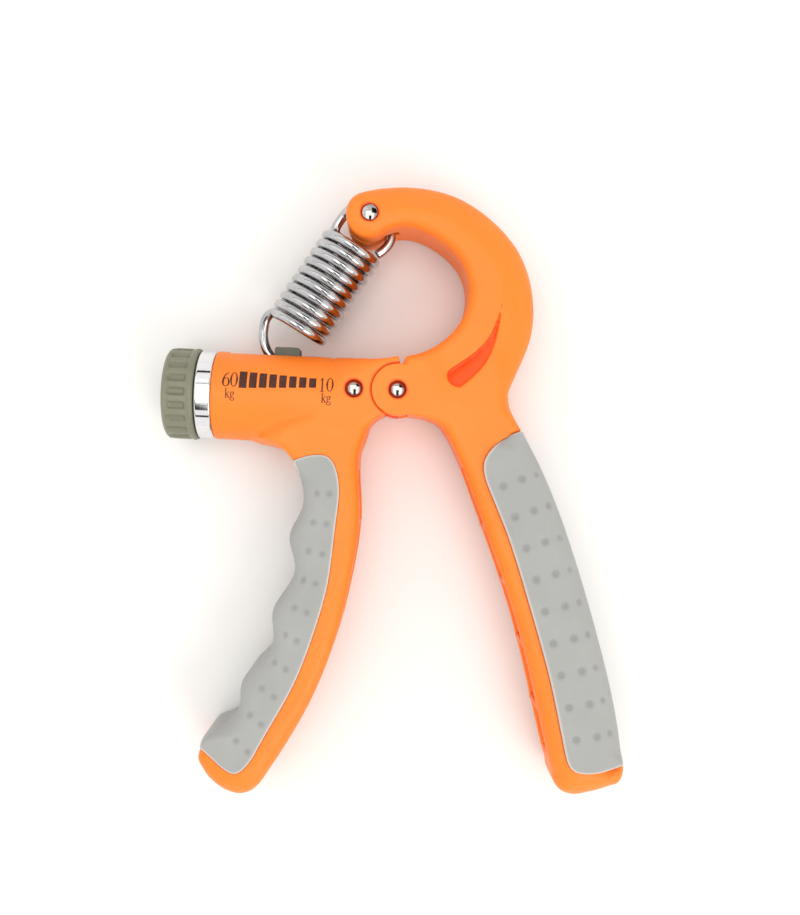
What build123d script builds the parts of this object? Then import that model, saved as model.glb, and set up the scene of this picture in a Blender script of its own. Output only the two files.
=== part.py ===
"""Hand grip strengthener with an adjustable tension spring.

Two plastic handles turn on a pivot pin. The palm handle carries a C-shaped arm above the
pivot. A tension spring runs from the arm's tip to a slider inside the finger handle's barrel,
and a knob on the barrel's end moves the slider along a screw to set the load.

Millimetres. The part lies on its side: +Z is up, +X runs along the barrel away from the
knob, and +Y points from the pivot to the arm. All outlines are given from the pivot's
centre, on the mid-plane, which is halfway up the knob.
"""
from build123d import *
from math import cos, sin, radians
import os

os.makedirs("parts", exist_ok=True)

# ---- driving dimensions -------------------------------------------------------------------
pivot_x, pivot_y = -1.0, 25.92      # pivot centre, placed so the whole part is centred on X and Y
mid_z = 11.8                        # height of the mid-plane, the knob's radius

body_half = 10.6                    # half thickness of the handles
arm_half = 10.4                     # half thickness of the palm handle's arm
pad_half = 11.6                     # half thickness of the soft grips
core_half = 8.2                     # half thickness of the handle under a soft grip
tongue_half = 4.8                   # finger handle's tongue, between the palm handle's ears
ear_gap_half = 5.1                  # half width of the fork that the tongue turns in

tongue_r = 6.0
ear_r = 6.4
recess_r = 6.75
pin_r = 2.2
pin_hole_r = 2.26
pin_half = 10.2
retaining_pin_at = (-10.9, -0.2)
spring_pin_at = (-8.9, 44.1)

axis_y = -2.85                      # barrel axis, below the pivot
barrel_r = 11.35
barrel_left, barrel_right = -46.7, -14.0
bore_r = 8.0
bore_right = -15.2
slot_half = 3.2                     # half width of the barrel's top slot
slot_left, slot_right = -43.8, -15.5
slot_corner_r = 1.5
slot_reach = 12.0                   # the slot is cut from this far above the pivot, down to it

collar_left = -50.9
collar_spigot_r = 7.9
collar_spigot_len = 2.0
knob_right = -51.1
knob_left = -59.2
rim_width = 1.6
shoulder_width = 1.6
flute_count = 20
flute_r = 1.15
flute_centre_r = 12.15
knob_body_r = 11.7
cap_r, cap_thickness = 7.4, 1.2
knob_screw_r, knob_screw_len = 1.5, 7.0
knob_screw_head_r, knob_screw_head = 2.8, 1.6
washer_r, washer_thickness = 6.0, 0.9
washer_proud = 0.1                  # the washer stands this far out of the knob

screw_r = 3.5
running = 0.05                      # radial clearance of a part that turns in a hole
screw_left, screw_right = -56.2, -13.4

slider_x = -28.8                    # slider's middle, half way along its travel
slider_half = 5.0
slider_body_r = 7.65
horn_half_x = 3.2
horn_outer = 2.95                   # the slider's two horns run from the hook's gap out to here
horn_top = 10.1
horn_gap_half = 1.45
horn_gap_bottom = 3.8
nut_half, nut_flats = 2.5, 10.6
cross_pin_at = (-28.4, 8.1)
cross_pin_r = 1.3
cross_pin_reach = 2.3               # the cross pin goes in from below and stops inside the upper horn
arm_slot_half = 1.7                 # half width of the slot in the arm's tip that takes the spring's loop
arm_slot_middle, arm_slot_size = (-10.0, 44.5), (17.0, 18.0)

wire_r = 1.25
coil_r = 7.2                        # mean radius of the spring's turns
coil_pitch = 2.72
coil_angle = 57.8                   # the spring's axis, from +X
coil_top = 7.07                     # from the spring pin down the axis to the last turn's end
loop_drop = 3.7                     # from the spring pin down the axis to the loop's centre
end_turns, middle_turns = 2, 6
hook_points = [(-33.3, 18.9), (-35.3, 13.4), (-33.0, 7.5), (-27.7, 5.4), (-23.9, 6.4)]

mid = Plane(origin=(pivot_x, pivot_y, mid_z))


def across(x, y=axis_y):
    """A plane square to the barrel's axis at x: its own x is +Y and its own y is +Z."""
    return Plane(origin=(pivot_x + x, pivot_y + y, mid_z), x_dir=(0, 1, 0), z_dir=(1, 0, 0))


def finish(builder, name):
    """Label a finished piece and write its file."""
    builder.part.label = name
    export_step(builder.part, f"parts/{name}.step")


# ---- outlines, from the pivot's centre -----------------------------------------------------
finger_inner_edge = [(-7.3, -10.2), (-8.7, -15.0), (-8.3, -30.0), (-9.6, -47.0),
                     (-12.6, -62.0), (-17.8, -77.5), (-25.6, -92.8), (-30.2, -100.3)]
finger_toe = [(-30.2, -100.3), (-32.6, -103.0), (-35.8, -103.8), (-39.4, -101.6),
              (-45.0, -96.6), (-46.1, -94.6), (-45.4, -91.6)]
finger_core_edge = [(-42.2, -90.6), (-37.0, -86.5), (-32.4, -79.0), (-25.2, -63.0),
                    (-21.0, -46.0), (-19.6, -28.0), (-22.6, -21.5), (-25.4, -19.0)]
finger_root = [(-25.4, -19.0), (-27.6, -16.4), (-30.4, -14.8), (-33.6, -13.6)]
finger_grip_edge = [(-25.4, -19.0), (-20.6, -17.3), (-16.4, -17.7), (-14.2, -21.2),
                    (-13.9, -34.0), (-15.2, -49.0), (-18.0, -61.0), (-23.3, -76.2),
                    (-30.6, -90.4), (-33.6, -95.6), (-36.2, -97.5), (-39.6, -96.2), (-45.4, -91.6)]
finger_scallops = [(-45.4, -91.6), (-44.3, -88.4), (-39.6, -86.0), (-36.2, -80.4),
                   (-36.0, -75.6), (-32.2, -69.9), (-28.5, -64.0), (-29.0, -57.4),
                   (-26.3, -51.8), (-23.8, -45.9), (-25.5, -37.8), (-22.6, -30.4),
                   (-23.0, -24.6), (-25.4, -19.0)]

palm_arm_inner = [(1.7, 8.4), (8.1, 10.9), (14.0, 16.2), (16.9, 24.6), (15.2, 31.9),
                  (8.2, 38.6), (-0.4, 41.2), (-4.9, 39.8)]
palm_arm_outer = [(-11.9, 49.3), (-4.6, 51.6), (3.4, 51.9), (12.2, 50.2), (21.5, 45.0),
                  (29.4, 36.6), (33.5, 25.0), (33.0, 13.4), (29.8, 5.2), (28.0, 0.4)]
palm_back = [(28.0, 0.4), (28.6, -3.4), (31.7, -9.0)]
palm_core_edge = [(28.5, -8.0), (31.2, -15.0), (41.2, -35.4), (46.7, -48.6), (51.2, -61.6),
                  (55.0, -75.6), (57.2, -88.0), (57.4, -94.5)]
palm_core_inside = [(57.4, -94.5), (52.0, -96.5), (45.5, -93.0), (36.2, -62.0), (24.3, -30.0),
                    (19.5, -16.0), (24.0, -6.0), (28.5, -8.0)]
palm_toe = [(60.6, -91.2), (61.2, -93.6), (59.6, -97.2), (54.0, -99.8), (48.4, -100.9),
            (45.2, -99.2), (43.2, -94.8)]
palm_inner_edge = [(43.2, -94.8), (38.9, -79.4), (33.8, -61.1), (27.4, -43.2), (20.9, -27.3),
                   (13.2, -11.0), (10.9, -8.2), (8.2, -6.9), (2.8, -6.2)]
palm_grip_edge = [(31.7, -9.0), (25.6, -12.4), (22.4, -17.4), (24.0, -24.0), (28.5, -33.9),
                  (34.8, -51.1), (41.2, -70.8), (45.7, -88.6), (47.8, -93.0), (51.6, -93.8),
                  (56.8, -92.6), (60.6, -91.2)]
palm_grip_back = [(60.6, -91.2), (58.1, -77.6), (53.3, -60.5), (46.8, -41.2), (38.5, -21.1),
                  (31.7, -9.0)]
crescent_inner = [(25.2, 22.6), (22.3, 14.0), (13.9, 6.3)]
crescent_end = [(13.9, 6.3), (12.7, 3.6), (15.6, 1.2)]
crescent_outer = [(15.6, 1.2), (21.4, 7.2), (25.2, 22.6)]
crescent_depth = 1.2
top_edge = [(-14.0, 7.4), (-10.0, 7.7), (-5.0, 7.6), (-0.1, 8.4)]
under_edge = [(-2.2, -7.0), (-4.6, -8.1), (-7.3, -10.2)]

channel_half = 5.6                  # the handles' inner sides are cored out, with cross ribs
channel_depth = 3.6
rib_half = 0.6
finger_channel = [(-8.3, -24.0), (-8.6, -38.0), (-10.8, -54.0), (-15.6, -72.0), (-22.8, -87.6)]
palm_channel = [(18.7, -22.5), (26.2, -40.0), (32.2, -56.4), (37.5, -74.5), (41.0, -88.0)]
finger_ribs = [(-8.4, -34.0, 88), (-11.9, -58.0, 102), (-19.2, -80.0, 114)]
palm_ribs = [(23.5, -33.5, 67), (29.2, -47.5, 70), (34.2, -62.5, 74), (38.6, -78.5, 77)]


def closed_outline(*edges):
    """A filled outline on the mid-plane from splines that run end to end."""
    with BuildSketch(mid) as outline:
        with BuildLine():
            for points in edges:
                Spline(*points)
        make_face()
    return outline.sketch


def band(points, depth, side):
    """The strip between an open spline and the same spline moved sideways by depth."""
    with BuildSketch(mid) as strip:
        with BuildLine():
            near = Spline(*[(x - side, y) for x, y in points])
            far = Spline(*[(x + side * depth, y) for x, y in points])
            Line(near @ 0, far @ 0)
            Line(near @ 1, far @ 1)
        make_face()
    return strip.sketch


def cross_ribs(ribs, side):
    """Thin ribs across a cored channel, each given by its outer end and its direction."""
    with BuildSketch(mid) as sketch:
        for x, y, angle in ribs:
            with Locations(Location((x + side * channel_depth / 2, y, 0), (0, 0, angle - 90))):
                Rectangle(channel_depth, 2 * rib_half)
    return sketch.sketch


def raised(sketch, level):
    """A sketch on the mid-plane, moved up or down to another level."""
    return sketch.moved(Location((0, 0, level)))


def outer_edges(part, half, boxes):
    """Edges of the two flat faces, at plus and minus half, whose middles lie in the given boxes."""
    chosen = ShapeList()
    for edge in part.edges():
        place = mid.to_local_coords(edge @ 0.5)
        on_face = abs(abs(place.Z) - half) < 0.01
        if on_face and any(x0 < place.X < x1 and y0 < place.Y < y1 for x0, y0, x1, y1 in boxes):
            chosen.append(edge)
    return chosen


def both_faces(depth_from, depth_to):
    """Offsets and thickness that reach the same layer above and below the mid-plane."""
    return [(depth_from, depth_to - depth_from), (-depth_to, depth_to - depth_from)]


# ---- finger handle: barrel, neck, core and the tongue of the pivot -------------------------
with BuildSketch(mid) as finger_outline:
    with BuildLine():
        Spline(*finger_inner_edge)
        Spline(*finger_toe)
        Spline((-45.4, -91.6), *finger_core_edge)
        Spline(*finger_root)
        Line((-33.6, -13.6), (-23.0, -7.0))
        Line((-23.0, -7.0), (-14.0, 7.4))
        Spline(*top_edge)
        Line((-0.1, 8.4), (0.5, 5.0))
        Line((0.5, 5.0), (-2.0, -5.0))
        Line((-2.0, -5.0), (-2.2, -7.0))
        Spline(*under_edge)
    make_face()

finger_grip_outline = closed_outline(finger_grip_edge, finger_scallops)

with BuildPart() as finger_handle:
    extrude(finger_outline.sketch, amount=body_half, both=True)
    inner_side = [(-32.0, -101.0, -7.0, -9.5), (-47.0, -105.0, -30.0, -91.0), (-8.0, -10.5, -2.0, -6.5)]
    fillet(outer_edges(finger_handle.part, body_half, inner_side), radius=2.4)
    with BuildSketch(mid):
        Circle(recess_r)
    extrude(amount=body_half + 1, both=True, mode=Mode.SUBTRACT)
    with BuildSketch(mid):
        Circle(tongue_r)
        with Locations((-5.6, 0)):
            Rectangle(5.2, 8.6)
    extrude(amount=tongue_half, both=True)
    for level, thickness in both_faces(core_half, pad_half):
        with BuildSketch(mid.offset(level)):
            add(raised(finger_grip_outline, level))
        extrude(amount=thickness, mode=Mode.SUBTRACT)
    with BuildSketch(across(barrel_left)):
        Circle(barrel_r)
    extrude(amount=barrel_right - barrel_left)
    with BuildSketch(across(barrel_left)):
        Circle(bore_r)
    extrude(amount=bore_right - barrel_left, mode=Mode.SUBTRACT)
    with BuildSketch(across(bore_right)):
        Circle(screw_r + running)
    extrude(amount=screw_right - bore_right + 0.1, mode=Mode.SUBTRACT)
    with BuildSketch(Plane(origin=(pivot_x, pivot_y + slot_reach, mid_z), x_dir=(1, 0, 0), z_dir=(0, 1, 0))):
        with Locations(((slot_left + slot_right) / 2, 0)):
            RectangleRounded(slot_right - slot_left, 2 * slot_half, slot_corner_r)
    extrude(amount=-slot_reach, mode=Mode.SUBTRACT)
    with BuildSketch(mid):
        with Locations((0, 0), retaining_pin_at):
            Circle(pin_hole_r)
    extrude(amount=body_half + 2, both=True, mode=Mode.SUBTRACT)
    extrude(band(finger_channel, channel_depth, -1), amount=channel_half, both=True, mode=Mode.SUBTRACT)
    extrude(cross_ribs(finger_ribs, -1), amount=channel_half, both=True)
finish(finger_handle, "finger_handle")

# ---- finger grip: soft, with four finger scallops ------------------------------------------
with BuildPart() as finger_grip:
    extrude(finger_grip_outline, amount=pad_half, both=True)
    fillet(outer_edges(finger_grip.part, pad_half, [(-50.0, -92.0, -20.0, -24.0)]), radius=2.5)
    extrude(finger_outline.sketch, amount=core_half, both=True, mode=Mode.SUBTRACT)
finish(finger_grip, "finger_grip")

# ---- palm handle: C-shaped arm, ears of the pivot, core -------------------------------------
with BuildSketch(mid) as palm_outline:
    with BuildLine():
        Spline(*palm_arm_inner)
        ThreePointArc((-4.9, 39.8), (-14.9, 43.0), (-11.9, 49.3))
        Spline(*palm_arm_outer)
        Spline(*palm_back)
        Spline(*palm_grip_edge)
        Spline(*palm_toe)
        Spline(*palm_inner_edge)
        Line((2.8, -6.2), (1.0, 0.0))
        Line((1.0, 0.0), (1.7, 8.4))
    make_face()

with BuildSketch(mid) as palm_core:
    with BuildLine():
        Spline(*palm_core_edge)
        Polyline(*palm_core_inside)
    make_face()

palm_grip_outline = closed_outline(palm_grip_edge, palm_grip_back)

with BuildSketch(mid) as crescent:
    with BuildLine():
        Spline(*crescent_inner)
        ThreePointArc(*crescent_end)
        Spline(*crescent_outer)
    make_face()

with BuildPart() as palm_handle:
    extrude(palm_outline.sketch, amount=arm_half, both=True)
    outer_side = [(-20.0, 10.0, 40.0, 55.0), (27.0, -8.0, 31.0, 4.0), (10.0, -103.0, 36.0, -20.0),
                  (40.0, -105.0, 62.0, -97.0)]
    fillet(outer_edges(palm_handle.part, arm_half, outer_side), radius=1.2)
    for level, thickness in both_faces(ear_gap_half, body_half):
        with BuildSketch(mid.offset(level)):
            Circle(ear_r)
        extrude(amount=thickness)
    with BuildSketch(mid):
        Circle(ear_r)
        with Locations((-5, 0)):
            Rectangle(10, 14)
    extrude(amount=ear_gap_half, both=True, mode=Mode.SUBTRACT)
    extrude(palm_core.sketch, amount=core_half, both=True)
    for level, thickness in both_faces(arm_half - crescent_depth, pad_half):
        extrude(raised(crescent.sketch, level), amount=thickness, mode=Mode.SUBTRACT)
    with BuildSketch(mid):
        with Locations(arm_slot_middle):
            Rectangle(*arm_slot_size)
    extrude(amount=arm_slot_half, both=True, mode=Mode.SUBTRACT)
    with BuildSketch(mid):
        with Locations((0, 0), spring_pin_at):
            Circle(pin_hole_r)
    extrude(amount=body_half + 2, both=True, mode=Mode.SUBTRACT)
    extrude(band(palm_channel, channel_depth, 1), amount=channel_half, both=True, mode=Mode.SUBTRACT)
    extrude(cross_ribs(palm_ribs, 1), amount=channel_half, both=True)
finish(palm_handle, "palm_handle")

# ---- palm grip ------------------------------------------------------------------------------
with BuildPart() as palm_grip:
    extrude(palm_grip_outline, amount=pad_half, both=True)
    fillet(outer_edges(palm_grip.part, pad_half, [(45.0, -60.0, 60.0, -40.0)]), radius=3.0)
    extrude(palm_core.sketch, amount=core_half, both=True, mode=Mode.SUBTRACT)
finish(palm_grip, "palm_grip")

# ---- pins: pivot, spring pin and the pin that stops the screw's end -------------------------
pins = {"pivot_pin": (0, 0), "retaining_pin": retaining_pin_at, "spring_pin": spring_pin_at}
for pin_name, pin_at in pins.items():
    with BuildPart() as pin:
        with BuildSketch(mid):
            with Locations(pin_at):
                Circle(pin_r)
        extrude(amount=pin_half, both=True)
        fillet(pin.edges().filter_by(GeomType.CIRCLE), radius=0.8)
    finish(pin, pin_name)

# ---- collar: chromed ring that closes the barrel's mouth ------------------------------------
with BuildPart() as collar:
    with BuildSketch(across(collar_left)):
        Circle(barrel_r)
    extrude(amount=barrel_left - collar_left)
    with BuildSketch(across(barrel_left)):
        Circle(collar_spigot_r)
    extrude(amount=collar_spigot_len)
    with BuildSketch(across(collar_left)):
        Circle(screw_r + running)
    extrude(amount=barrel_left - collar_left + collar_spigot_len, mode=Mode.SUBTRACT)
    chamfer(collar.edges().filter_by(GeomType.CIRCLE).sort_by(SortBy.RADIUS)[-2:], length=0.25)
finish(collar, "collar")

# ---- knob: fluted, with a plain rim, a socket for the screw and a recess for its cap ---------
flute_left = knob_left + shoulder_width
flute_len = knob_right - rim_width - flute_left
cap_left = knob_left + 0.1
head_left = cap_left + cap_thickness
with BuildPart() as knob:
    with BuildSketch(across(knob_left)):
        Circle(knob_body_r)
    extrude(amount=knob_right - rim_width - knob_left)
    with BuildSketch(across(flute_left)):
        with PolarLocations(flute_centre_r, flute_count):
            Circle(flute_r)
    extrude(amount=flute_len, mode=Mode.SUBTRACT)
    fillet(knob.edges().filter_by(GeomType.CIRCLE).sort_by(Axis.X)[:1], radius=1.3)
    with BuildSketch(across(knob_right - rim_width)):
        Circle(mid_z)
    extrude(amount=rim_width)
    fillet(knob.edges().filter_by(GeomType.CIRCLE).sort_by(Axis.X)[-1:], radius=0.5)
    with BuildSketch(across(knob_left - 1)):
        Circle(cap_r)
    extrude(amount=head_left - knob_left + 1, mode=Mode.SUBTRACT)
    with BuildSketch(across(knob_left - 1)):
        Circle(knob_screw_head_r + 0.4)
    extrude(amount=head_left + knob_screw_head - knob_left + 1, mode=Mode.SUBTRACT)
    with BuildSketch(across(screw_left)):
        Circle(screw_r)
    extrude(amount=knob_right - screw_left + 1, mode=Mode.SUBTRACT)
    with BuildSketch(across(knob_left)):
        Circle(knob_screw_r + running)
    extrude(amount=screw_left - knob_left + 1, mode=Mode.SUBTRACT)
    with BuildSketch(across(knob_right)):
        Circle(washer_r + running)
    extrude(amount=washer_proud - washer_thickness, mode=Mode.SUBTRACT)
finish(knob, "knob")

with BuildPart() as knob_cap:
    with BuildSketch(across(cap_left)):
        Circle(cap_r - running)
    extrude(amount=cap_thickness)
    chamfer(knob_cap.edges().sort_by(Axis.X)[:1], length=0.3)
finish(knob_cap, "knob_cap")

with BuildPart() as knob_screw:
    with BuildSketch(across(head_left)):
        Circle(knob_screw_head_r)
    extrude(amount=knob_screw_head)
    with BuildSketch(across(head_left + knob_screw_head)):
        Circle(knob_screw_r)
    extrude(amount=knob_screw_len)
    with BuildSketch(across(head_left)):
        RegularPolygon(1.4, 6)
    extrude(amount=0.9, mode=Mode.SUBTRACT)
finish(knob_screw, "knob_screw")

with BuildPart() as thrust_washer:
    with BuildSketch(across(knob_right - washer_thickness + washer_proud)):
        Circle(washer_r)
        Circle(screw_r + running, mode=Mode.SUBTRACT)
    extrude(amount=washer_thickness)
finish(thrust_washer, "thrust_washer")

# ---- adjusting screw: major diameter, tapped for the knob's screw -----------------------------
with BuildPart() as adjusting_screw:
    with BuildSketch(across(screw_left)):
        Circle(screw_r)
    extrude(amount=screw_right - screw_left)
    chamfer(adjusting_screw.edges().sort_by(Axis.X)[-1:], length=0.6)
    with BuildSketch(across(screw_left)):
        Circle(knob_screw_r)
    extrude(amount=knob_screw_len + head_left + knob_screw_head - screw_left + 0.5, mode=Mode.SUBTRACT)
finish(adjusting_screw, "adjusting_screw")

# ---- slider: runs in the barrel, with two horns that stand out of its top slot ----------------
with BuildPart() as slider:
    with BuildSketch(across(slider_x - slider_half)):
        Circle(slider_body_r)
    extrude(amount=2 * slider_half)
    with BuildSketch(mid):
        with Locations((slider_x, (axis_y + horn_top) / 2)):
            Rectangle(2 * horn_half_x, horn_top - axis_y)
    extrude(amount=horn_outer, both=True)
    fillet(slider.edges().filter_by(Axis.Z).sort_by(Axis.Y)[-2:], radius=0.6)
    with BuildSketch(mid):
        with Locations((slider_x, (horn_gap_bottom + horn_top) / 2)):
            Rectangle(2 * slider_half, horn_top - horn_gap_bottom)
    extrude(amount=horn_gap_half, both=True, mode=Mode.SUBTRACT)
    with BuildSketch(mid.offset(-horn_outer)):
        with Locations(cross_pin_at):
            Circle(cross_pin_r)
    extrude(amount=horn_outer + cross_pin_reach, mode=Mode.SUBTRACT)
    with BuildSketch(across(slider_x - slider_half)):
        Circle(screw_r + 0.4)
    extrude(amount=2 * slider_half, mode=Mode.SUBTRACT)
    with BuildSketch(across(slider_x - nut_half)):
        RegularPolygon(nut_flats / 2, 6, major_radius=False)
    extrude(amount=2 * nut_half, mode=Mode.SUBTRACT)
finish(slider, "slider")

with BuildPart() as slider_nut:
    with BuildSketch(across(slider_x - nut_half)):
        RegularPolygon(nut_flats / 2, 6, major_radius=False)
        Circle(screw_r + running, mode=Mode.SUBTRACT)
    extrude(amount=2 * nut_half)
finish(slider_nut, "slider_nut")

with BuildPart() as slider_cross_pin:
    with BuildSketch(mid.offset(-horn_outer)):
        with Locations(cross_pin_at):
            Circle(cross_pin_r)
    extrude(amount=horn_outer + cross_pin_reach)
finish(slider_cross_pin, "slider_cross_pin")

# ---- tension spring: one wire, in three lengths that move apart as it stretches ---------------
up_axis = Vector(cos(radians(coil_angle)), sin(radians(coil_angle)), 0)
to_left = Vector(-up_axis.Y, up_axis.X, 0)
spring_pin_centre = mid.from_local_coords(Vector(*spring_pin_at, 0))
coil_base = spring_pin_centre - up_axis * (coil_top + coil_pitch * (2 * end_turns + middle_turns))


def turns_plane(turn):
    """Plane square to the spring's axis, that many turns above its lower end."""
    return Plane(origin=coil_base + up_axis * (coil_pitch * turn), x_dir=to_left, z_dir=up_axis)


def coil(first_turn, turns):
    """Right-handed turns of the wire, starting on the spring's left side."""
    path = turns_plane(first_turn).location * Helix(coil_pitch, coil_pitch * turns, coil_r)
    with BuildSketch(Plane(origin=path @ 0, z_dir=path % 0)) as section:
        Circle(wire_r)
    return sweep(section.sketch, path=path, is_frenet=True)


def bent_wire(points):
    """Wire along a smooth curve in the mid-plane."""
    with BuildLine(mid) as path:
        Spline(*points)
    with BuildSketch(Plane(origin=path.line @ 0, z_dir=path.line % 0)) as section:
        Circle(wire_r)
    return sweep(section.sketch, path=path.line)


def loop_point(angle):
    """A point on the upper loop, by the angle from the spring's axis towards its left side."""
    centre = Vector(*spring_pin_at, 0) - up_axis * loop_drop
    point = centre + up_axis * (coil_r * cos(radians(angle))) + to_left * (coil_r * sin(radians(angle)))
    return (point.X, point.Y)


top_left = Vector(*spring_pin_at, 0) - up_axis * coil_top + to_left * coil_r
loop_points = [(top_left.X, top_left.Y)] + [loop_point(angle) for angle in (80, 40, 0, -40, -82)]
joint_gap = 0.03                    # in turns: the three lengths stand this far apart

upper_turns = coil(end_turns + middle_turns, end_turns)
middle_coils = coil(end_turns, middle_turns - joint_gap)
lower_turns = coil(0, end_turns - joint_gap)
upper_bend = bent_wire(loop_points)
lower_bend = bent_wire(hook_points)

with BuildPart() as spring_upper_loop:
    add(upper_turns)
    add(upper_bend)
    with Locations(mid.from_local_coords(top_left)):
        Sphere(wire_r)
finish(spring_upper_loop, "spring_upper_loop")

with BuildPart() as spring_coils:
    add(middle_coils)
finish(spring_coils, "spring_coils")

with BuildPart() as spring_lower_hook:
    add(lower_turns)
    add(lower_bend)
    with Locations(mid.from_local_coords(Vector(*hook_points[0], 0))):
        Sphere(wire_r)
finish(spring_lower_hook, "spring_lower_hook")
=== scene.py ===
"""Hand grip strengthener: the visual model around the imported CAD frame.

The moulded bodies are distance fields on a fine grid, turned into smooth meshes. Lengths in
the shape code are millimetres from the pivot pin's centre on the mid-plane, in the frame's
axes; `place` turns them into metres.
"""
import bpy
import bmesh
import math
import numpy as np
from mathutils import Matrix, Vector, bvhtree


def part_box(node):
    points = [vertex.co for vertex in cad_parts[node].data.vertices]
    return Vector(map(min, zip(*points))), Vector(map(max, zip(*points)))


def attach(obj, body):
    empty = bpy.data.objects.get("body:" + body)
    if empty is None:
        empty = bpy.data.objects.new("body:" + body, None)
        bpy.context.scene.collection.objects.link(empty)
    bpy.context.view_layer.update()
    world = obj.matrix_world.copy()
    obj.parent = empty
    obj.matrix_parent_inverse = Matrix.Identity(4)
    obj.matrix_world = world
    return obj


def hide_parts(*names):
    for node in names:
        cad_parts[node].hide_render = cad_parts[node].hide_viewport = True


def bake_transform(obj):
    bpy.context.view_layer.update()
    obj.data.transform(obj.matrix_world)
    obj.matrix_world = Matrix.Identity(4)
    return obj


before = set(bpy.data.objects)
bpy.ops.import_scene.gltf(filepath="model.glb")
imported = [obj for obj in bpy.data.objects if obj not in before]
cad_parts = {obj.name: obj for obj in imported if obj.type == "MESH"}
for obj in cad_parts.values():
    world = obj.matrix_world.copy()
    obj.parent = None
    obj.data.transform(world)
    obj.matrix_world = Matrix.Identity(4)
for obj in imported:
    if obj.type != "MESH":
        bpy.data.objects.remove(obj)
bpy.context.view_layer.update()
scene = bpy.context.scene

# ---- sizes, read from the frame ---------------------------------------------------------------


def middle(node):
    """Centre of a CAD node's box, in millimetres, in the row frame."""
    low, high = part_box(node)
    return (low + high) * 500


PIVOT = middle("pivot_pin")


def span(node, axis):
    """Lowest and highest coordinate of a CAD node along an axis, in millimetres from the pivot."""
    low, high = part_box(node)
    return low[axis] * 1000 - PIVOT[axis], high[axis] * 1000 - PIVOT[axis]


BODY_HALF = span("finger_handle", 2)[1]
ARM_HALF = 10.4
PAD_HALF = span("finger_grip", 2)[1]
PAD_EDGE = 0.45
CORE_HALF = 8.2
SLOT_HALF = 3.2
HOOK_SLOT_HALF = 1.7
BARREL_BORE_R = 8.0
SCREW_BORE_R = 3.55
EAR_R = 6.4
EAR_FACE_OUT = 0.15
POCKET_R = 6.62
TONGUE_R = 6.0
TONGUE_HALF = 4.8
EAR_GAP_HALF = 5.1
PIN_FIT = 0.04
PIVOT_PIN_FIT = 0.06
PLASTIC_LEVEL, GRIP_LEVEL = 6.5, 8.9
AXIS_Y = sum(span("collar", 1)) / 2
BARREL_R = (span("collar", 1)[1] - span("collar", 1)[0]) / 2
BARREL_LEFT = span("finger_handle", 0)[0]
KNOB_LEFT, KNOB_RIGHT = span("knob", 0)
KNOB_R = span("knob", 2)[1]
COLLAR_LEFT, COLLAR_RIGHT = span("collar", 0)
PIN_R = (span("pivot_pin", 0)[1] - span("pivot_pin", 0)[0]) / 2
pins = {name: (middle(name) - PIVOT)[:2] for name in ("pivot_pin", "retaining_pin", "spring_pin")}


def place(points):
    """Millimetres from the pivot to metres in the row frame."""
    return (np.asarray(points, float) + np.array(PIVOT)) / 1000


# ---- curves and distance fields ---------------------------------------------------------------
def smooth_line(points, step=0.5):
    """Points along a natural cubic spline through the given ones, in any number of dimensions."""
    p = np.array(points, float)
    n = len(p)
    t = np.concatenate(([0], np.cumsum(np.linalg.norm(np.diff(p, axis=0), axis=1))))
    h = np.diff(t)
    a = np.eye(n)
    b = np.zeros_like(p)
    for i in range(1, n - 1):
        a[i, i - 1:i + 2] = h[i - 1], 2 * (h[i - 1] + h[i]), h[i]
        b[i] = 6 * ((p[i + 1] - p[i]) / h[i] - (p[i] - p[i - 1]) / h[i - 1])
    m = np.linalg.solve(a, b)
    s = np.linspace(0, t[-1], max(2, int(t[-1] / step) + 1))
    k = np.clip(np.searchsorted(t, s, side="right") - 1, 0, n - 2)
    u, v, w = (s - t[k])[:, None], (t[k + 1] - s)[:, None], h[k][:, None]
    return (m[k] * v**3 + m[k + 1] * u**3) / (6 * w) + (p[k] / w - m[k] * w / 6) * v \
        + (p[k + 1] / w - m[k + 1] * w / 6) * u


def segments(*lines):
    """Point pairs of polylines that run end to end, as one array."""
    return np.concatenate([np.stack((line[:-1], line[1:]), axis=1) for line in lines])


def cut_through(node, level, avoid=()):
    """Segments where a level plane cuts a CAD node, without the holes round the points to avoid."""
    bm = bmesh.new()
    bm.from_mesh(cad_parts[node].data)
    height = (PIVOT.z + level) / 1000
    everything = bm.verts[:] + bm.edges[:] + bm.faces[:]
    cut = bmesh.ops.bisect_plane(bm, geom=everything, plane_co=(0, 0, height), plane_no=(0, 0, 1))
    pairs = [[v.co[:2] for v in e.verts] for e in cut["geom_cut"] if isinstance(e, bmesh.types.BMEdge)]
    bm.free()
    pairs = np.array(pairs) * 1000 - np.array(PIVOT[:2])
    keep = np.ones(len(pairs), bool)
    for spot in avoid:
        keep &= np.linalg.norm(pairs.mean(axis=1) - np.array(spot), axis=1) > PIN_R + 0.6
    return pairs[keep]


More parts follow.
